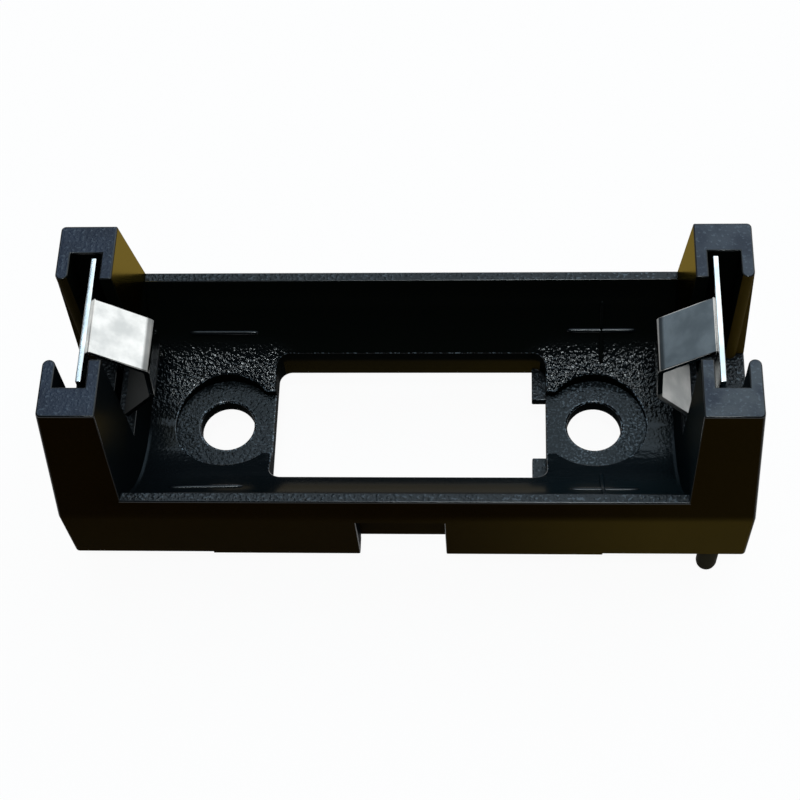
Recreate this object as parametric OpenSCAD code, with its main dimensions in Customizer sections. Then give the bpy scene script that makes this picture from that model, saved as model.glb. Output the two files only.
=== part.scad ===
// Battery holder for a short round lithium cell, 17 mm in diameter and 34.5 mm long.
// A one-piece moulded cradle carries a stamped spring contact in slotted posts at each end.
// X runs along the cell, Y across it, and Z = 0 is the face of the board that it stands on.

/* [Body] */
// Thickness of the side walls level with the cell's axis
side_wall_t = 0.5; // [0.4:0.05:1.5]
// Distance by which each end leans inwards at the tops of the posts
end_lean = 0.55; // [0:0.05:0.8]
// Distance by which each side leans inwards at the tops of the posts
side_lean = 2.15; // [0.5:0.05:2.2]
// Height of the posts above the board
post_h = 15.2; // [14.6:0.1:20]
// Height at which the outer faces begin to lean
crease_h = 5.4; // [4.8:0.1:6.8]
// Height of the side walls between the posts
wall_h = 7.1; // [6:0.1:9]

/* [Cell bay] */
// Diameter of the cell
cell_d = 17.0; // [16:0.1:17.4]
// Length of the cell
cell_l = 34.5; // [33:0.1:40]
// Radial clearance between the cell and the trough
cell_clearance = 0.15; // [0.05:0.05:0.25]
// Room between each end of the cell and the end of the trough
end_room = 0.85; // [0.5:0.05:1.2]
// Distance by which each end of the bay leans outwards at the tops of the posts
bay_draft = 0.3; // [0:0.05:0.4]
// Thickness of the floor under the lowest line of the trough
floor_t = 1.25; // [0.9:0.05:1.6]

/* [Contact posts] */
// Thickness of the arms between the bay and the contact chambers, at their tops
inner_arm_t = 0.8; // [0.5:0.05:0.9]
// Thickness of the round-tipped arms outside the contact chambers, at their tops
outer_arm_t = 0.82; // [0.6:0.02:1.4]
// Width of the contact chambers along X
chamber_w = 2.03; // [1.4:0.01:2.1]
// Length of the contact chambers along Y
chamber_l = 9.84; // [9.5:0.02:10.4]
// Gap between the front and back posts of one end
post_gap = 5.9; // [5:0.1:7.4]
// Height of the sills between the posts of one end
sill_h = 5.3; // [4.6:0.1:5.4]

/* [Screw seats] */
// Distance between the screw holes
screw_spacing = 25.4; // [25:0.1:26.4]
// Diameter of the screw holes
screw_hole_d = 3.7; // [3:0.1:4.4]
// Diameter of the flat seats for the screw heads
seat_d = 7.1; // [6:0.1:7.6]
// Depth of the seats below the lowest line of the trough
seat_drop = 0.25; // [0.1:0.05:0.5]
// Width of the flat channel between each seat and the window
channel_w = 4.8; // [4:0.1:6]

/* [Floor window] */
// Length of the window in the floor
window_l = 18.8; // [14:0.1:19.4]
// Width of the window in the floor
window_w = 9.64; // [8:0.02:10.4]
// Corner radius of the window
window_r = 0.9; // [0.4:0.1:2]
// Length of the two tabs at the positive end of the window
tab_l = 0.95; // [0.4:0.05:1.6]
// Width of each tab
tab_w = 2.55; // [1.4:0.05:3]
// Thickness of the tabs
tab_t = 0.6; // [0.4:0.05:0.8]

/* [Side notches] */
// Width of the notch in each side
notch_w = 5.8; // [3:0.1:7]
// Distance of each notch from the middle of its side
notch_shift = 0.25; // [0:0.05:2]
// Depth of the notches into the sides
notch_depth = 1.35; // [0.6:0.05:1.6]
// Height of the top of the notches above the board
notch_h = 4.7; // [3:0.1:4.9]

/* [Feet and peg] */
// Height of the foot rails that hold the body off the board
foot_h = 0.2; // [0.1:0.05:0.4]
// Length of the foot rail under each side
foot_l = 26.2; // [16:0.1:32]
// Width of each foot rail
foot_w = 1.2; // [0.6:0.05:1.3]
// Diameter of the polarising peg
peg_d = 1.4; // [1:0.1:1.5]
// Length of the peg below the board face
peg_l = 3.1; // [2:0.1:5]
// Distance from the peg's axis to the end of the body
peg_end_inset = 2.3; // [1:0.05:3]
// Distance from the peg's axis to the side of the body
peg_side_inset = 0.8; // [0.75:0.05:2]

/* [Contacts] */
// Thickness of the contact sheet
sheet_t = 0.35; // [0.25:0.05:0.5]
// Width of the contact plates
plate_w = 9.1; // [8:0.1:9.4]
// Clearance between the plates and the slots that hold them
plate_clearance = 0.05; // [0.03:0.01:0.1]
// Distance between a chamber's inner wall and the slot that holds its plate
plate_setback = 0.25; // [0:0.05:0.4]
// Thickness of the base under the plates
plate_floor_t = 1.25; // [0.8:0.05:2]
// Width of the spring tongues
tongue_w = 3.9; // [3:0.1:5]
// Width of the slits beside the tongues
slit_w = 0.15; // [0.1:0.05:0.3]
// Depth of the tongues' roots below the tops of the plates
root_drop = 0.85; // [0.6:0.05:1.2]
// Distance that each nose stands out from its plate, between the middles of the sheets
nose_reach = 3.4; // [2.6:0.05:3.7]
// Height of the upper bend of each nose above the cell's axis
nose_rise = 1.75; // [1.2:0.05:2.2]
// Depth of the lower bend of each nose below the cell's axis
nose_fall = 1.4; // [0.8:0.05:1.8]
// Distance by which each nose leans back at its lower bend
nose_lean = 0.2; // [0:0.05:0.6]
// Gap between the free end of each tongue and its plate
tip_gap = 0.8; // [0.3:0.05:1]
// Height of the free end of each tongue above the sill
tip_rise = 0.8; // [0.2:0.05:1.2]
// Radius of the bends, measured at the middle of the sheet
bend_r = 0.35; // [0.3:0.05:0.6]
// Width of the solder tails
tail_w = 1.2; // [0.8:0.1:2]
// Length of the solder tails below the board face
tail_l = 3.2; // [2:0.1:5]

/* [Hidden] */
$fn = 64;
BEND_STEPS = 6;
DOME_STEPS = 3;
// Angle up the peg's domed end at which its flat tip is left
DOME_ANGLE = 66;
// Distance by which a cut runs on past the face that it opens
CUT = 1;
// Depth to which an added form runs into what carries it
MERGE = 0.3;

trough_r = cell_d / 2 + cell_clearance;
trough_z = foot_h + floor_t;
cell_z = trough_z + trough_r;
seat_z = trough_z - seat_drop;
bay_l = cell_l + 2 * end_room;
chamber_x0 = bay_l / 2 + bay_draft + inner_arm_t;
chamber_x1 = chamber_x0 + chamber_w;
arm_tip_r = outer_arm_t / 2;
top_l = 2 * (chamber_x1 + outer_arm_t);
base_l = top_l + 2 * end_lean;
base_w = 2 * (trough_r + side_wall_t);
top_w = base_w - 2 * side_lean;
plate_x = chamber_x0 + plate_setback + plate_clearance + sheet_t / 2;
plate_z = foot_h + plate_floor_t;
root_z = post_h - root_drop;
nose_x = plate_x - nose_reach;

// Turns an outline drawn in Y and Z into a solid that runs along X
module along_x(length) {
    rotate([90, 0, 90])
        linear_extrude(length, center = true)
            children();
}

// Turns an outline drawn in X and Z into a solid that runs along Y
module along_y(length) {
    rotate([90, 0, 0])
        linear_extrude(length, center = true)
            children();
}

// Repeats its children at both ends of the holder
module both_ends() {
    for (turn = [0, 180])
        rotate([0, 0, turn])
            children();
}

module rounded_rectangle(length, width, radius) {
    square([length - 2 * radius, width], center = true);
    square([length, width - 2 * radius], center = true);
    for (x = [-1, 1])
        for (y = [-1, 1])
            translate([x * (length / 2 - radius), y * (width / 2 - radius)])
                circle(radius);
}

// Outline of one face of the body: upright below the crease, leaning inwards above it
module leaning_outline(foot_size, top_size) {
    polygon([
        [-foot_size / 2, foot_h],
        [foot_size / 2, foot_h],
        [foot_size / 2, crease_h],
        [top_size / 2, post_h],
        [-top_size / 2, post_h],
        [-foot_size / 2, crease_h]
    ]);
}

// Outer form of the body, with the outline of its sides one way and of its ends the other
module outer_form() {
    intersection() {
        along_x(base_l)
            leaning_outline(base_w, top_w);
        along_y(base_w)
            leaning_outline(base_l, top_l);
    }
}

// Half-length of the bay at a height, where its ends lean outwards for the mould
function bay_x(z) = bay_l / 2 + bay_draft * (z - trough_z) / (post_h - trough_z);

// Space between the posts from one height to another, as wide as asked
module bay_space(foot_z, top_z, width) {
    along_y(width)
        polygon([
            [-bay_x(foot_z), foot_z],
            [bay_x(foot_z), foot_z],
            [bay_x(top_z), top_z],
            [-bay_x(top_z), top_z]
        ]);
}

// Round trough that the cell lies in, and the open space above the side walls
module cell_bay() {
    bay_space(wall_h, post_h + CUT, base_w + CUT);
    intersection() {
        bay_space(0, wall_h, base_w);
        translate([0, 0, cell_z])
            rotate([0, 90, 0])
                cylinder(r = trough_r, h = base_l, center = true);
    }
}

// Flat seat for a screw head, with its hole and the channel that runs to the window
module screw_seat() {
    translate([screw_spacing / 2, 0, 0]) {
        translate([0, 0, seat_z])
            cylinder(d = seat_d, h = cell_z - seat_z);
        translate([0, 0, -CUT])
            cylinder(d = screw_hole_d, h = cell_z + CUT);
    }
    translate([0, -channel_w / 2, seat_z])
        cube([screw_spacing / 2, channel_w, cell_z - seat_z]);
}

// Window in the floor, with a thin tab at two of its corners
module floor_window() {
    tab_z = foot_h + tab_t;
    translate([0, 0, tab_z])
        linear_extrude(cell_z)
            rounded_rectangle(window_l, window_w, window_r);
    translate([0, 0, -CUT])
        linear_extrude(tab_z + 2 * CUT)
            difference() {
                rounded_rectangle(window_l, window_w, window_r);
                for (side = [-1, 1])
                    translate([(window_l - tab_l) / 2, side * (window_w - tab_w) / 2])
                        square([tab_l, tab_w], center = true);
            }
}

// Notch in one side, open below, which parts the foot rail
module side_notch() {
    translate([-notch_w / 2 - notch_shift, -base_w / 2 - CUT, -CUT])
        cube([notch_w, notch_depth + CUT, notch_h + CUT]);
}

// Chamber that leaves one contact room to flex, with the gap between its posts
module contact_chamber() {
    translate([chamber_x0, -chamber_l / 2, sill_h])
        cube([chamber_w, chamber_l, post_h]);
    translate([0, 0, sill_h])
        linear_extrude(post_h)
            post_gap_outline();
}

// Gap between the posts of one end, which leaves a round tip on each outer arm
module post_gap_outline() {
    tip_y = post_gap / 2 + arm_tip_r;
    difference() {
        union() {
            translate([bay_l / 2 - CUT, -post_gap / 2])
                square([base_l, post_gap]);
            translate([chamber_x1, -tip_y])
                square([base_l, 2 * tip_y]);
        }
        for (side = [-1, 1])
            translate([chamber_x1 + arm_tip_r, side * tip_y])
                circle(arm_tip_r);
    }
}

// Narrow slot that holds the foot of one plate, with a way through the base for its tail
module plate_slot() {
    slot_t = sheet_t + 2 * plate_clearance;
    slot_w = plate_w + 2 * plate_clearance;
    tail_slot_w = tail_w + 2 * plate_clearance;
    translate([plate_x - slot_t / 2, -slot_w / 2, plate_z])
        cube([slot_t, slot_w, post_h]);
    translate([plate_x - slot_t / 2, -tail_slot_w / 2, -CUT])
        cube([slot_t, tail_slot_w, post_h]);
}

// Low foot rail under one side of the body
module foot_rail() {
    translate([-foot_l / 2, -base_w / 2, 0])
        cube([foot_l, foot_w, foot_h + MERGE]);
}

// Peg with a domed end, which lets the holder go onto its board one way round only
module polarising_peg() {
    peg_r = peg_d / 2;
    dome = [for (i = [0 : DOME_STEPS]) DOME_ANGLE * i / DOME_STEPS];
    dome_h = peg_r * sin(DOME_ANGLE);
    shank_l = peg_l - dome_h + foot_h + MERGE;
    translate([base_l / 2 - peg_end_inset, peg_side_inset - base_w / 2, dome_h - peg_l])
        rotate_extrude()
            polygon(concat(
                [[0, -dome_h], [0, shank_l], [peg_r, shank_l]],
                [for (a = dome) [peg_r * cos(a), -peg_r * sin(a)]]
            ));
}

module holder_body() {
    color([0.05, 0.05, 0.06])
        difference() {
            union() {
                outer_form();
                both_ends()
                    foot_rail();
                polarising_peg();
            }
            cell_bay();
            floor_window();
            both_ends() {
                screw_seat();
                side_notch();
                contact_chamber();
                plate_slot();
            }
        }
}

function unit(v) = v / norm(v);
function left_of(v) = [-v.y, v.x];

// Points and left-hand normals round the bend at b of the path a, b, c
function bend(a, b, c, r) =
    let (
        back = unit(a - b),
        on = unit(c - b),
        half = acos(back * on) / 2,
        centre = b + unit(back + on) * r / sin(half),
        side = sign(left_of(-back) * on),
        first = b + back * r / tan(half) - centre,
        start = atan2(first.y, first.x),
        sweep = side * (180 - 2 * half)
    )
    [for (i = [0 : BEND_STEPS])
        let (turn = start + sweep * i / BEND_STEPS)
        let (out = [cos(turn), sin(turn)])
        [centre + r * out, -side * out]];

// Points and left-hand normals along the middle of a bent strip
function strip_frames(path, r) =
    let (last = len(path) - 1)
    [
        [path[0], left_of(unit(path[1] - path[0]))],
        for (i = [1 : last - 1])
            each bend(path[i - 1], path[i], path[i + 1], r),
        [path[last], left_of(unit(path[last] - path[last - 1]))]
    ];

// Edge-on outline of a strip of even thickness bent along a path
module bent_strip(path, r, thickness) {
    frames = strip_frames(path, r);
    left_side = [for (f = frames) f[0] + f[1] * thickness / 2];
    right_side = [for (f = frames) f[0] - f[1] * thickness / 2];
    polygon(concat(left_side, [for (i = [len(frames) - 1 : -1 : 0]) right_side[i]]));
}

// Middle line of the tongue: top of the plate, root, the two bends of the nose, free end
tongue_path = [
    [plate_x, post_h],
    [plate_x, root_z],
    [nose_x, cell_z + nose_rise],
    [nose_x + nose_lean, cell_z - nose_fall],
    [plate_x - sheet_t / 2 - tip_gap, sill_h + tip_rise]
];

// Length of the flat blank that the tongue is cut from
tongue_blank_l = norm(tongue_path[2] - tongue_path[1])
    + norm(tongue_path[3] - tongue_path[2])
    + norm(tongue_path[4] - tongue_path[3]);

// Outline of the flat plate with its tail, less the window that the tongue is bent out of
module plate_outline() {
    opening_w = tongue_w + 2 * slit_w;
    opening_l = tongue_blank_l + slit_w;
    difference() {
        union() {
            translate([-plate_w / 2, plate_z])
                square([plate_w, post_h - plate_z]);
            translate([-tail_w / 2, -tail_l])
                square([tail_w, tail_l + plate_z + MERGE]);
        }
        translate([-opening_w / 2, root_z - opening_l])
            square([opening_w, opening_l]);
    }
}

// Stamped spring contact, with its tongue bent out of the plate into the bay
module contact() {
    translate([plate_x, 0, 0])
        along_x(sheet_t)
            plate_outline();
    along_y(tongue_w)
        bent_strip(tongue_path, bend_r, sheet_t);
}

module positive_contact() {
    color([0.78, 0.77, 0.74])
        contact();
}

module negative_contact() {
    color([0.78, 0.77, 0.74])
        rotate([0, 0, 180])
            contact();
}

holder_body();
positive_contact();
negative_contact();
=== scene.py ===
"""Battery holder for a short round cell: black moulded cradle with two plated spring contacts."""
import math

import bmesh
import bpy
import numpy as np
from mathutils import Matrix, Vector


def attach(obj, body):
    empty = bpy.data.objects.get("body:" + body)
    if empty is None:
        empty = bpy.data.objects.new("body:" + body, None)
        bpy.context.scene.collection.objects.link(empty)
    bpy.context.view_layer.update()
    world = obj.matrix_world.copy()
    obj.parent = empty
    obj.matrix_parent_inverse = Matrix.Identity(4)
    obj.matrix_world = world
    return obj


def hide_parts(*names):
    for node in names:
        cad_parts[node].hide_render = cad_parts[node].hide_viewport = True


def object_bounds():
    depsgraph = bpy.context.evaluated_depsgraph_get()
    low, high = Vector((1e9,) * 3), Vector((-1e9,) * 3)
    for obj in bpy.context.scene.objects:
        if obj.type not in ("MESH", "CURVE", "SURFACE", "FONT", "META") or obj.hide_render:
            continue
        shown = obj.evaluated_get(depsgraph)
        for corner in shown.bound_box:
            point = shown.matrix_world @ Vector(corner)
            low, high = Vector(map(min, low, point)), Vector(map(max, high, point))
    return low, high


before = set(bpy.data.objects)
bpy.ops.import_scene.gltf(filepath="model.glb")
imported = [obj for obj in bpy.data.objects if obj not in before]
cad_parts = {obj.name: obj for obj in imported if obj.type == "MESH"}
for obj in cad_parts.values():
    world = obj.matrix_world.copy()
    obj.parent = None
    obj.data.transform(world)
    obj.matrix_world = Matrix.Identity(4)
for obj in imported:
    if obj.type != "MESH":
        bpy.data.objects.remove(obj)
CAD_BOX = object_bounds()
MM = 0.001

# The holder's own sizes, in millimetres
TROUGH_R = 8.65
TROUGH_AXIS_Z = 10.1
BAY_HALF_L = 18.1
WALL_TOP_Z = 7.1
POST_H = 15.2
SEAT_Z = 1.2
RIM_TOP_Z = 3.2
HOLE_X = 12.7
HOLE_R = 1.85
CREASE_Z = 5.4
UNDERSIDE_Z = 0.25
TONGUE_ROOT_Z = 14.35

# Where its outer faces, the tips of the back outer arms and the window's back wall begin, in millimetres
END_X = 21.5
SIDE_Y = 6.8
CORNER_Y = 6.5
CORNER_LEAST_H = 3.0
ARM_TIP_X = 21.3
ARM_TIP_Y = 3.4
WINDOW_HALF_L = 9.0
WINDOW_WALL_Y = 4.0
WINDOW_WALL_TOP_Z = 3.0

# A face's upward part of its normal, from which it counts as level, and up to which as upright
LEVEL = 0.99
UPRIGHT = 0.35

# Rounds on the edges in millimetres, and the turn in degrees from which an edge gets one
CRADLE_ROUND, CRADLE_SHARP_DEG = 0.10, 35
SPRING_ROUND, SPRING_SHARP_DEG = 0.06, 50
CORNER_ROUND, HOLE_RIM_ROUND, WIDE_SHARP_DEG = 0.3, 0.18, 40
SMALL_SEGMENTS, WIDE_SEGMENTS = 3, 4
SHORTEST_EDGE = 0.05
SAME_LEVEL = 0.01
SAME_POINT = 0.0001
FLAT_DEG = 0.2
SMOOTH_DEG = 40

# Raised polarity signs: half width and dullness of each kind of stroke, the x and the y of every stroke's
# ends with its kind, and the rise on the back and on the front flank, all lengths in millimetres
BAR = (0.18, 0.0)
STEM = (0.17, 0.8)
STROKES = (((-15.5, -10.55), (5.95, 5.95), BAR), ((-15.8, -10.8), (-6.3, -6.05), BAR),
           ((10.75, 15.6), (6.04, 6.04), BAR), ((13.2, 13.2), (7.4, 4.2), STEM),
           ((10.8, 15.4), (-6.4, -6.4), BAR), ((13.0, 13.0), (-7.6, -4.4), STEM))
BACK_RISE = 0.16
FRONT_RISE = 0.12
RIB_SAMPLES = 40
RIB_RING = 10
RIB_BLUNTNESS = 12

# Zones of the moulding's finish, each an attribute of its faces; end_wall, outer and warm also mark where
# painted warm reflection goes
ZONES = ("trough", "seat", "rim", "frosted", "post_top", "end_wall", "outer", "warm", "skin")
# Share of the front's painted warm reflection on the peg below the base, and the olive of that painted
# reflection
PEG_WARMTH = 0.4
PAINTED_OLIVE = (0.056, 0.035, 0.006)

# The photograph's camera: place in millimetres, angles in degrees, lens in pixels of an 800 pixel frame
PICTURE = 800
CAMERA_PLACE = (6.242, -56.516, 105.348)
CAMERA_ELEVATION = 62.777
CAMERA_YAW = -6.884
CAMERA_ROLL = 5.976
LENS_PX = 1713.07
CENTRE_PX = (405.96, 468.57)
SENSOR_MM = 36.0

# The stage: sizes in metres, its colours, and how far the floor is seen as pure white
FLOOR_HALF = 4.0
LAMP_DISTANCE = 0.6
DAYLIGHT = (0.66, 0.84, 1.0)
WHITE = (1.0, 1.0, 1.0)
FLOOR_WHITE = 0.95


def put_in_scene(name, data):
    """A new object of the scene, at the origin."""
    thing = bpy.data.objects.new(name, data)
    bpy.context.scene.collection.objects.link(thing)
    return thing


def aim_camera():
    """Looks down on the front of the holder from where the photograph was taken."""
    yaw, elevation, roll = (math.radians(a) for a in (CAMERA_YAW, CAMERA_ELEVATION, CAMERA_ROLL))
    level = math.cos(elevation)
    forward = Vector((math.sin(yaw) * level, math.cos(yaw) * level, -math.sin(elevation)))
    right = Vector((math.cos(yaw), -math.sin(yaw), 0))
    down = forward.cross(right)
    turned_right = math.cos(roll) * right + math.sin(roll) * down
    turned_down = math.cos(roll) * down - math.sin(roll) * right
    data = bpy.data.cameras.new("camera")
    data.sensor_width = SENSOR_MM
    data.lens = LENS_PX / PICTURE * SENSOR_MM
    data.shift_x = (PICTURE / 2 - CENTRE_PX[0]) / PICTURE
    data.shift_y = (CENTRE_PX[1] - PICTURE / 2) / PICTURE
    data.clip_start = MM
    camera = put_in_scene("camera", data)
    axes = Matrix((turned_right, -turned_down, -forward)).transposed()
    camera.matrix_world = Matrix.Translation(Vector(CAMERA_PLACE) * MM) @ axes.to_4x4()
    bpy.context.scene.camera = camera


class Value:
    """A shader socket that takes part in Python arithmetic, one Math node for each operation."""

    def __init__(self, tree, socket):
        self.tree = tree
        self.socket = socket

    def _math(self, operation, *values):
        node = self.tree.nodes.new("ShaderNodeMath")
        node.operation = operation
        for slot, value in zip(node.inputs, values):
            plug(self.tree, slot, value)
        return Value(self.tree, node.outputs[0])

    def __add__(self, other):
        return self._math("ADD", self, other)

    def __sub__(self, other):
        return self._math("SUBTRACT", self, other)

    def __rsub__(self, other):
        return self._math("SUBTRACT", other, self)

    def __mul__(self, other):
        return self._math("MULTIPLY", self, other)

    __radd__ = __add__
    __rmul__ = __mul__

    def most(self, other):
        """The larger of two values."""
        return self._math("MAXIMUM", self, other)

    def size(self):
        """The value without its sign."""
        return self._math("ABSOLUTE", self)


def plug(tree, slot, value):
    """Links a socket, or sets its own value. A colour is opaque."""
    if isinstance(value, Value):
        tree.links.new(value.socket, slot)
    else:
        slot.default_value = (*value, 1.0) if slot.type == "RGBA" else value


class Finish:
    """The node tree of one material or world, built from expressions on its own coordinates."""

    def __init__(self, owner):
        owner.use_nodes = True
        self.owner = owner
        self.tree = owner.node_tree
        self.tree.nodes.clear()

    def node(self, kind, settings=None, sockets=None, output=0):
        """Adds a node, sets its settings, then its sockets by name or number, and gives one output."""
        node = self.tree.nodes.new(kind)
        for key, value in (settings or {}).items():
            setattr(node, key, value)
        for key, value in (sockets or {}).items():
            plug(self.tree, node.inputs[key], value)
        return Value(self.tree, node.outputs[output]) if node.outputs else None

    def place(self):
        """A point's place on its piece, in metres."""
        return self.node("ShaderNodeTexCoord", output="Object")

    def axis(self, vector, name):
        """The X, Y or Z of a vector."""
        return self.node("ShaderNodeSeparateXYZ", sockets={0: vector}, output=name)

    def mm(self, name):
        """The X, Y or Z of a point on its piece, in millimetres."""
        return self.axis(self.place(), name) * (1 / MM)

    def rise(self, value, low, high):
        """Smooth rise from 0 at low to 1 at high."""
        return self.node("ShaderNodeMapRange", {"interpolation_type": "SMOOTHSTEP"},
                         {"Value": value, "From Min": low, "From Max": high})

    def fall(self, value, low, high):
        """Smooth fall from 1 at low to 0 at high."""
        return 1.0 - self.rise(value, low, high)

    def mix(self, factor, first, second):
        """Colour from first to second; a Mix node has its sockets for numbers and vectors before these."""
        return self.node("ShaderNodeMix", {"data_type": "RGBA"}, {0: factor, 6: first, 7: second}, output=2)

    def mix_shaders(self, factor, first, second):
        """Shader from first to second."""
        return self.node("ShaderNodeMixShader", sockets={0: factor, 1: first, 2: second})

    def noise(self, scale_mm, detail):
        """Noise with features about scale_mm across, from 0 to 1."""
        return self.node("ShaderNodeTexNoise", {"normalize": True},
                         {"Vector": self.place(), "Scale": 1 / (scale_mm * MM), "Detail": detail})

    def bump(self, height, strength, depth_mm):
        """Normals that follow a height, where 1 stands for depth_mm."""
        return self.node("ShaderNodeBump",
                         sockets={"Strength": strength, "Distance": depth_mm * MM, "Height": height})

    def attribute(self, name):
        """A value that the piece's faces carry."""
        return self.node("ShaderNodeAttribute", {"attribute_name": name}, output="Fac")

    def seeing_rays(self):
        """The rays by which a background is seen: straight, in metal and through glass."""
        return [self.node("ShaderNodeLightPath", output=name)
                for name in ("Is Camera Ray", "Is Glossy Ray", "Is Transmission Ray")]

    def surface(self, shader):
        """Ends a material with its shader."""
        self.node("ShaderNodeOutputMaterial", sockets={"Surface": shader})
        return self.owner


def moulded_plastic():
    """Black moulding: pebbled spark-eroded floor, frosted tops with dusty specks and painted glints, dull
    flanks and sides.

    The front is brown above its crease and olive below it, and the end walls have a warm sheen: painted warm
    reflection.
    """
    f = Finish(bpy.data.materials.new("moulded_plastic"))
    x, y, z = (f.mm(name) for name in "XYZ")
    along, across = x.size(), y.size()
    trough, seat, rim, frosted, post_top, end_wall, outer, warm, skin = (f.attribute(name) for name in ZONES)

    # How the finish, and the painted light, shade and reflection, change from place to place
    # Towards the right the colours lighten as painted light from the window there; the back flank darkens as
    # painted shade and the back end walls take the painted sheen
    rightward = f.rise(x, -2.0, 21.0)
    back = f.rise(y, -3.0, 3.0)
    behind_window = f.rise(y, 0.0, 2.0) * f.fall(along, 6.0, 10.0)
    flank = trough * f.rise(across + behind_window * 1.6, 4.0, 6.2)
    calm = (trough - flank) * f.fall(y - f.rise(along, 14.5, 17.5) * 3.0, -3.0, 1.0)
    pebbled = trough - flank - calm * 0.85 + seat * 0.5
    # A pale line along the trough's front ends, a painted highlight on its edge
    trough_end = trough * f.rise(along, 17.85, 18.0) * f.fall(y, -2.0, 0.0)
    # Below the crease the front takes the painted olive reflection
    low_band = f.fall(z, CREASE_Z - 0.5, CREASE_Z + 0.5)
    # The warm tint leaves out a band under the window wall's top edge, which stays dark as painted shade
    outside_rim_shade = 1.0 - f.rise(z, 1.7, 2.2) * f.fall(z, 3.0, 4.0)

    # Grain of the mould, dusty specks on it, and painted glints and highlights
    pebble = f.noise(0.22, detail=1.0)
    fine = f.noise(0.12, detail=1.0)
    cloud = f.noise(4.5, detail=3.0)
    patch = f.rise(f.noise(1.8, detail=3.0), 0.35, 0.65)
    speck = f.rise(pebble, 0.58, 0.68)
    spark = f.rise(f.noise(0.17, detail=1.0), 0.50, 0.66) * (patch * 0.7 + 0.3)
    height = pebble * (pebbled + frosted * 0.8 + post_top * 0.2) + fine * (pebbled + frosted + post_top) * 0.10
    # Dusty specks on the tops, more towards the right as painted glints, a painted highlight along the
    # trough's front ends, sparks on the seats and rims as painted glints, and a painted lift of the seats'
    # colour towards the right
    dust_and_glints = (speck * (frosted * (rightward * 0.10 + 0.12) + post_top * 0.10) + trough_end * 0.12
            + spark * (seat * (rightward * 0.35 + 0.22) + rim * 0.6) + seat * (rightward * 0.016 + 0.012))

    # Satin floor and tops; the post tops are painted blue-grey as a painted sky reflection, mottled at random
    # and lighter at the right front as a painted highlight
    black = f.mix(cloud, (0.002, 0.003, 0.004), (0.004, 0.005, 0.006))
    painted_top_highlight = f.mix(rightward * (1.0 - back * 0.6), (0.006, 0.012, 0.029), (0.036, 0.042, 0.050))
    blue_grey = f.mix(post_top, black, f.mix(patch, (0.002, 0.006, 0.019), painted_top_highlight))
    dust_and_glint_colour = f.mix(dust_and_glints, blue_grey, (0.33, 0.40, 0.46))
    roughness = 0.20 - pebbled * 0.08 + frosted * 0.14 + post_top * (0.22 - patch * 0.10)
    satin = f.node("ShaderNodeBsdfPrincipled", sockets={
        "Base Color": dust_and_glint_colour, "Roughness": roughness, "Specular IOR Level": 0.35,
        "Normal": f.bump(height, strength=1.0, depth_mm=0.115)})

    # Dull flanks and sides, with painted warm reflection on the front, the peg, the arm tips and the window's
    # back wall, painted light towards the right and painted shade on the back flank
    brown = f.mix(cloud, (0.0052, 0.0024, 0.00015), (0.0086, 0.0042, 0.0003))
    front = f.mix(low_band * (rightward * 0.85 + 0.10) + rightward * rightward * 0.15, brown, PAINTED_OLIVE)
    # Inner sides lighter towards the right as painted light, the back flank darker as painted shade
    painted_front_light = f.mix(rightward, (0.003, 0.0045, 0.0055), (0.008, 0.014, 0.017))
    shade = f.mix(back, painted_front_light, (0.002, 0.0027, 0.002))
    dull = f.mix(warm * outside_rim_shade * (rightward * 0.7 + 0.3), f.mix(outer, shade, front), PAINTED_OLIVE)
    drawn = f.node("ShaderNodeBsdfPrincipled", sockets={
        "Base Color": dull, "Roughness": 0.45, "Specular IOR Level": 0.001})
    # The olive tint of this gloss, laid on the back end walls and the front flank, is a painted warm
    # reflection
    sheen = f.node("ShaderNodeBsdfGlossy", sockets={"Color": (0.15, 0.105, 0.020), "Roughness": 0.2})
    painted_warm_sheen = end_wall * (back * 0.9 + 0.1) * f.rise(z, 6.6, 8.0) + flank * (1.0 - back) * 0.09
    sides = f.mix_shaders(painted_warm_sheen, drawn, sheen)

    dulled = skin + flank * 0.95 + seat * 0.5 + calm * 0.4 + frosted * 0.15
    return f.surface(f.mix_shaders(dulled, satin, sides))


def nickel_plate():
    """Bright nickel on stamped sheet, faintly clouded, with a fine rolled grain.

    The folded-back leaves, darkest on the left, the noses and the faces that look down are painted darker:
    painted shade and dark reflection.
    """
    f = Finish(bpy.data.materials.new("nickel_plate"))
    x = f.mm("X")
    along = x.size()
    leaf = f.fall(f.mm("Z"), 8.9, 9.3) * f.fall(along, 18.8, 19.2)
    leftward = f.fall(x, -1.0, 1.0)
    nose = f.fall(along, 16.4, 16.6)
    # Painted shade on the leaves, the noses and the undersides
    painted_shade = (leaf * (leftward * 0.7 + 0.3)).most(nose * 0.72).most(f.attribute("below") * 0.9)
    cloud = f.noise(1.6, detail=4.0)
    bright = f.mix(f.rise(cloud, 0.3, 0.7), (0.52, 0.535, 0.53), (0.78, 0.785, 0.77))
    return f.surface(f.node("ShaderNodeBsdfPrincipled", sockets={
        "Base Color": f.mix(painted_shade, bright, (0.006, 0.008, 0.008)), "Metallic": 1.0,
        "Roughness": 0.08 + cloud * 0.08 + leaf * 0.4,
        "Normal": f.bump(f.noise(0.06, detail=2.0), strength=0.3, depth_mm=0.01)}))


def face_vectors(mesh, what):
    """The centres or the normals of all faces, as rows of x, y and z."""
    values = np.empty(3 * len(mesh.polygons))
    mesh.polygons.foreach_get(what, values)
    return values.reshape(-1, 3).T


def mark_faces(mesh, name, values):
    """Gives each face a value that a finish can read."""
    mesh.attributes.new(name, "FLOAT", "FACE").data.foreach_set("value", np.asarray(values, np.float32))


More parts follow.
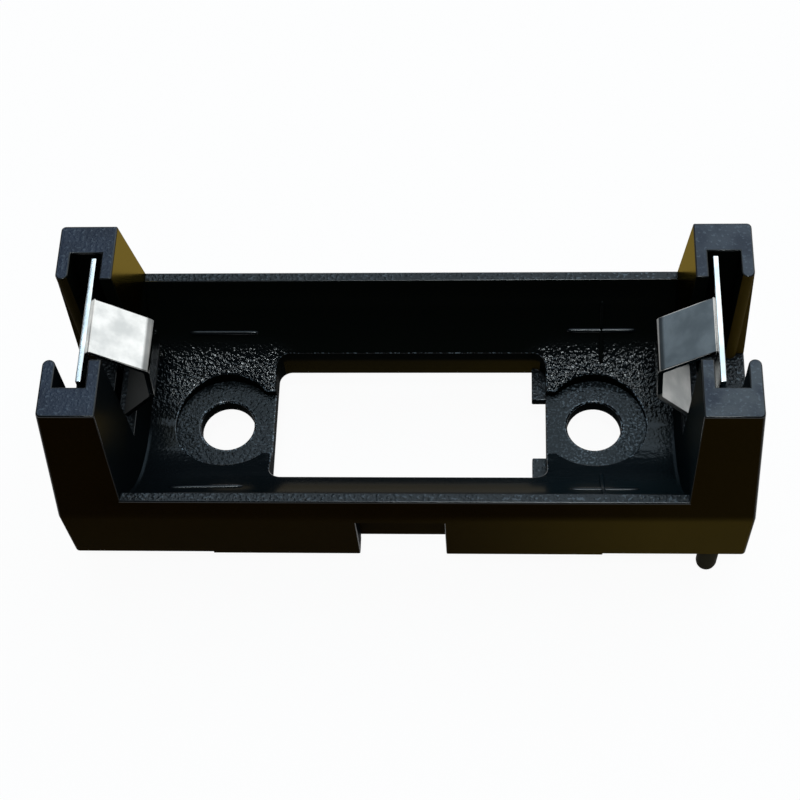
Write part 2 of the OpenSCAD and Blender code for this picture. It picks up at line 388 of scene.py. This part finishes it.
def mark_zones(mesh):
    """Marks each face of the moulding with the finish that its place in the mould gives it, and where painted
    warm reflection goes.
    """
    x, y, z = face_vectors(mesh, "center") / MM
    nx, ny, nz = face_vectors(mesh, "normal")
    along, across = np.abs(x), np.abs(y)
    endward, sideward = np.sign(x) * nx, np.sign(y) * ny
    level, upright = nz > LEVEL, nz < UPRIGHT

    inside = (along < BAY_HALF_L + 0.2) & (across < TROUGH_R) & (z < WALL_TOP_Z)
    from_axis = np.hypot(y, z - TROUGH_AXIS_Z)
    facing_axis = ((TROUGH_AXIS_Z - z) * nz - y * ny) / from_axis
    trough = inside & (np.abs(from_axis - TROUGH_R) < 0.15) & (facing_axis > 0.97)
    seat = inside & (np.abs(z - SEAT_Z) < 0.05) & level
    rim = inside & (z < RIM_TOP_Z) & (nz > 0.15) & (nz < LEVEL) & ~trough
    top = level & ~trough & ~seat
    frosted = top & (z < POST_H - 0.3)
    post_top = top & ~frosted
    end_wall = (np.abs(along - BAY_HALF_L) < 0.5) & (endward < -0.98)

    # Outer sides facing the front, partly the peg, the back outer arms' tips and the window's back wall are
    # where painted warm reflection goes
    side = upright & (((across > SIDE_Y) & (sideward > 0)) | ((along > END_X) & (endward > 0.3)))
    outer = np.where(z < 0, PEG_WARMTH, side * np.clip((-ny - 0.2) / 0.7, 0, 1))
    arm_tip = (along > ARM_TIP_X) & (np.abs(y - ARM_TIP_Y) < 0.5) & (ny < -0.2)
    window_wall = (along < WINDOW_HALF_L) & (y > WINDOW_WALL_Y) & (z < WINDOW_WALL_TOP_Z) & (ny < -0.8)
    warm = (arm_tip | window_wall) & upright
    skin = np.where(side & (z > 0) & ~arm_tip, outer, upright & ~trough)
    for name, faces in zip(ZONES, (trough, seat, rim, frosted, post_top, end_wall, outer, warm, skin)):
        mark_faces(mesh, name, faces)


def mark_undersides(mesh):
    """Marks each face of a spring by how far it looks down, from 0 for upright faces to 1, for painted shade
    underneath.
    """
    nz = face_vectors(mesh, "normal")[2]
    mark_faces(mesh, "below", np.clip((-nz - 0.1) / 0.3, 0, 1))


def merged(mesh):
    """An editable copy of a mesh, with its doubled points merged."""
    work = bmesh.new()
    work.from_mesh(mesh)
    bmesh.ops.remove_doubles(work, verts=work.verts, dist=SAME_POINT * MM)
    return work


def put_back(work, mesh):
    """Ends the editing of a mesh, and shades it smooth."""
    work.to_mesh(mesh)
    work.free()
    mesh.polygons.foreach_set("use_smooth", np.ones(len(mesh.polygons), bool))


def sharp_edges(work, least_deg, least_mm=SHORTEST_EDGE):
    """Outward edges of a mesh that turn by more than an angle and are longer than a length."""
    return [e for e in work.edges if e.is_manifold and e.is_convex and e.calc_length() > least_mm * MM
            and e.calc_face_angle() > math.radians(least_deg)]


def upright_corners(work):
    """The long outer corner edges of the cradle's base and posts."""
    return [e for e in sharp_edges(work, WIDE_SHARP_DEG, CORNER_LEAST_H)
            if all(abs(v.co.x) > END_X * MM and abs(v.co.y) > CORNER_Y * MM for v in e.verts)
            and abs(e.verts[0].co.z - e.verts[1].co.z) > CORNER_LEAST_H * MM]


def hole_rims(work):
    """The upper rim edges of the two screw holes."""
    return [e for e in sharp_edges(work, WIDE_SHARP_DEG) if min(v.co.z for v in e.verts) > (SEAT_Z - 0.02) * MM
            and all(abs(math.hypot(abs(v.co.x) / MM - HOLE_X, v.co.y / MM) - HOLE_R) < 0.03 for v in e.verts)]


def round_edges(work, edges, width_mm, segments):
    """Rounds edges of a mesh, each with a number of narrow faces."""
    bmesh.ops.bevel(work, geom=edges, offset=width_mm * MM, segments=segments, profile=0.5, affect="EDGES",
                    clamp_overlap=False)


def softened(node, name, round_mm, sharp_deg, wide_rounds=(), ledge_z=None):
    """A copy of a CAD node with small rounds on its outward edges above the underside.

    Before that, each of wide_rounds picks edges and gives them its own width. Edges that lie in the level of
    ledge_z stay sharp.
    """
    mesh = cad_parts[node].data.copy()
    mesh.name = name
    work = merged(mesh)
    bmesh.ops.dissolve_limit(work, angle_limit=math.radians(FLAT_DEG), verts=work.verts, edges=work.edges)
    for edges, width_mm in [(pick(work), width_mm) for pick, width_mm in wide_rounds]:
        round_edges(work, edges, width_mm, WIDE_SEGMENTS)
    shown = [e for e in sharp_edges(work, sharp_deg) if max(v.co.z for v in e.verts) > UNDERSIDE_Z * MM
             and (ledge_z is None or any(abs(v.co.z - ledge_z * MM) > SAME_LEVEL * MM for v in e.verts))]
    round_edges(work, shown, round_mm, SMALL_SEGMENTS)
    put_back(work, mesh)
    mesh.materials.clear()
    mesh.attributes.remove(mesh.attributes["custom_normal"])
    mesh.set_sharp_from_angle(angle=math.radians(SMOOTH_DEG))
    piece = put_in_scene(name, mesh)
    flats = piece.modifiers.new("flat_faces_stay_flat", "WEIGHTED_NORMAL")
    flats.weight = 100
    flats.keep_sharp = True
    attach(piece, "root")
    return piece


def trough_rib(x, y, half_w, rise):
    """Closed rib along a line on the trough: an ellipse carried along it, shrinking to a point at both ends.

    The line runs straight from (x[0], y[0]) to (x[1], y[1]) in the flat unrolled trough. Its points lie at
    (x, R sin a, axis height - R cos a), where a is the angle round the trough and R its radius. The ellipse's
    size follows the square root of 1 minus a high power of the distance from the line's middle.
    """
    t = np.linspace(0, 1, RIB_SAMPLES)
    turn = np.linspace(0, 2 * np.pi, RIB_RING, endpoint=False)
    a0, a1 = np.arcsin(np.array(y) / TROUGH_R)
    a = a0 + (a1 - a0) * t
    line = np.stack([x[0] + (x[1] - x[0]) * t, TROUGH_R * np.sin(a), TROUGH_AXIS_Z - TROUGH_R * np.cos(a)], 1)
    inward = np.stack([np.zeros(RIB_SAMPLES), -np.sin(a), np.cos(a)], 1)
    ahead = np.gradient(line, axis=0)
    ahead /= np.linalg.norm(ahead, axis=1, keepdims=True)
    across = np.cross(inward, ahead)
    swell = np.sqrt(1 - np.abs(2 * t - 1) ** RIB_BLUNTNESS)[:, None, None]
    rings = line[:, None] + swell * (half_w * np.cos(turn)[None, :, None] * across[:, None]
                                     + rise * np.sin(turn)[None, :, None] * inward[:, None])
    row, col = np.meshgrid(np.arange(RIB_SAMPLES - 1), np.arange(RIB_RING), indexing="ij")
    this, after = row * RIB_RING, (row + 1) * RIB_RING
    beside = (col + 1) % RIB_RING
    quads = np.stack([this + col, after + col, after + beside, this + beside], -1)
    return rings.reshape(-1, 3), quads.reshape(-1, 4)


def polarity_ribs():
    """Raised polarity signs on both flanks of the trough: a minus at one end, a plus at the other."""
    points, faces, dullness, count = [], [], [], 0
    for x, y, (half_w, dull) in STROKES:
        rib_points, rib_faces = trough_rib(x, y, half_w, BACK_RISE if y[0] > 0 else FRONT_RISE)
        points.append(rib_points)
        faces.append(rib_faces + count)
        dullness.append(np.full(len(rib_faces), dull))
        count += len(rib_points)
    mesh = bpy.data.meshes.new("polarity_ribs")
    mesh.from_pydata(np.concatenate(points) * MM, [], np.concatenate(faces))
    work = merged(mesh)
    bmesh.ops.recalc_face_normals(work, faces=work.faces)
    put_back(work, mesh)
    mark_faces(mesh, "skin", np.concatenate(dullness))
    piece = put_in_scene("polarity_ribs", mesh)
    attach(piece, "root")
    return piece


def lay_floor():
    """A plain white table under the lowest point of the holder, which keeps a soft shadow."""
    low, high, z = -FLOOR_HALF, FLOOR_HALF, CAD_BOX[0][2]
    mesh = bpy.data.meshes.new("floor")
    mesh.from_pydata([(low, low, z), (high, low, z), (high, high, z), (low, high, z)], [], [(0, 1, 2, 3)])
    floor = put_in_scene("floor", mesh)
    f = Finish(bpy.data.materials.new("floor"))
    camera, glossy, transmission = f.seeing_rays()
    seen = camera.most(glossy).most(transmission)
    paper = f.node("ShaderNodeBsdfDiffuse", sockets={"Color": (0.9, 0.9, 0.9)})
    white = f.node("ShaderNodeEmission", sockets={"Color": WHITE, "Strength": 1.0})
    mesh.materials.append(f.surface(f.mix_shaders(seen * FLOOR_WHITE, paper, white)))


def soft_box(name, direction, size, radiance, colour):
    """A flat lamp of even radiance, facing the holder from a direction."""
    data = bpy.data.lights.new(name, "AREA")
    data.shape = "RECTANGLE"
    data.size, data.size_y = size
    data.energy = radiance * math.pi * size[0] * size[1]
    data.color = colour
    lamp = put_in_scene(name, data)
    lamp.visible_camera = False
    way = Vector(direction).normalized()
    turn = way.to_track_quat("Z", "Y").to_matrix().to_4x4()
    lamp.matrix_world = Matrix.Translation(way * LAMP_DISTANCE) @ turn


def light_stage():
    """Daylight from above and behind, a window at the right, a lamp, a room dim in front, a white backdrop."""
    world = bpy.data.worlds.new("world")
    bpy.context.scene.world = world
    f = Finish(world)
    way = f.node("ShaderNodeTexCoord", output="Generated")
    upward = f.axis(way, "Z")
    behind = f.rise(f.axis(way, "Y"), -0.2, 0.6) * f.rise(upward, 0.0, 0.45)
    dim, bright, white = (f.node("ShaderNodeBackground", sockets={"Color": colour, "Strength": strength})
                          for colour, strength in ((DAYLIGHT, 0.012), (DAYLIGHT, 0.252), (WHITE, 1.0)))
    camera, glossy, transmission = f.seeing_rays()
    seen = camera.most(glossy.most(transmission) * f.fall(upward, 0.05, 0.20))
    room = f.mix_shaders(behind, dim, bright)
    f.node("ShaderNodeOutputWorld", sockets={"Surface": f.mix_shaders(seen, room, white)})
    soft_box("sky", (0.14, 0.48, 0.87), size=(0.56, 0.72), radiance=2.0, colour=(0.70, 0.87, 1.0))
    soft_box("window", (0.744, 0.507, 0.436), size=(0.45, 0.45), radiance=1.15, colour=(1.0, 0.99, 0.97))
    soft_box("ceiling_lamp", (0.03, -0.30, 0.95), size=(0.10, 0.10), radiance=37.0, colour=(0.88, 0.97, 1.0))


bpy.context.scene.view_settings.view_transform = "Standard"
aim_camera()
lay_floor()
light_stage()

plastic = moulded_plastic()
nickel = nickel_plate()
cradle = softened("holder_body", "cradle", CRADLE_ROUND, CRADLE_SHARP_DEG,
                  wide_rounds=((upright_corners, CORNER_ROUND), (hole_rims, HOLE_RIM_ROUND)))
mark_zones(cradle.data)
cradle.data.materials.append(plastic)
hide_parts("holder_body")
marks = polarity_ribs()
marks.data.materials.append(plastic)
for end in ("positive", "negative"):
    spring = softened(end + "_contact", end + "_spring", SPRING_ROUND, SPRING_SHARP_DEG, ledge_z=TONGUE_ROOT_Z)
    mark_undersides(spring.data)
    spring.data.materials.append(nickel)
    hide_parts(end + "_contact")
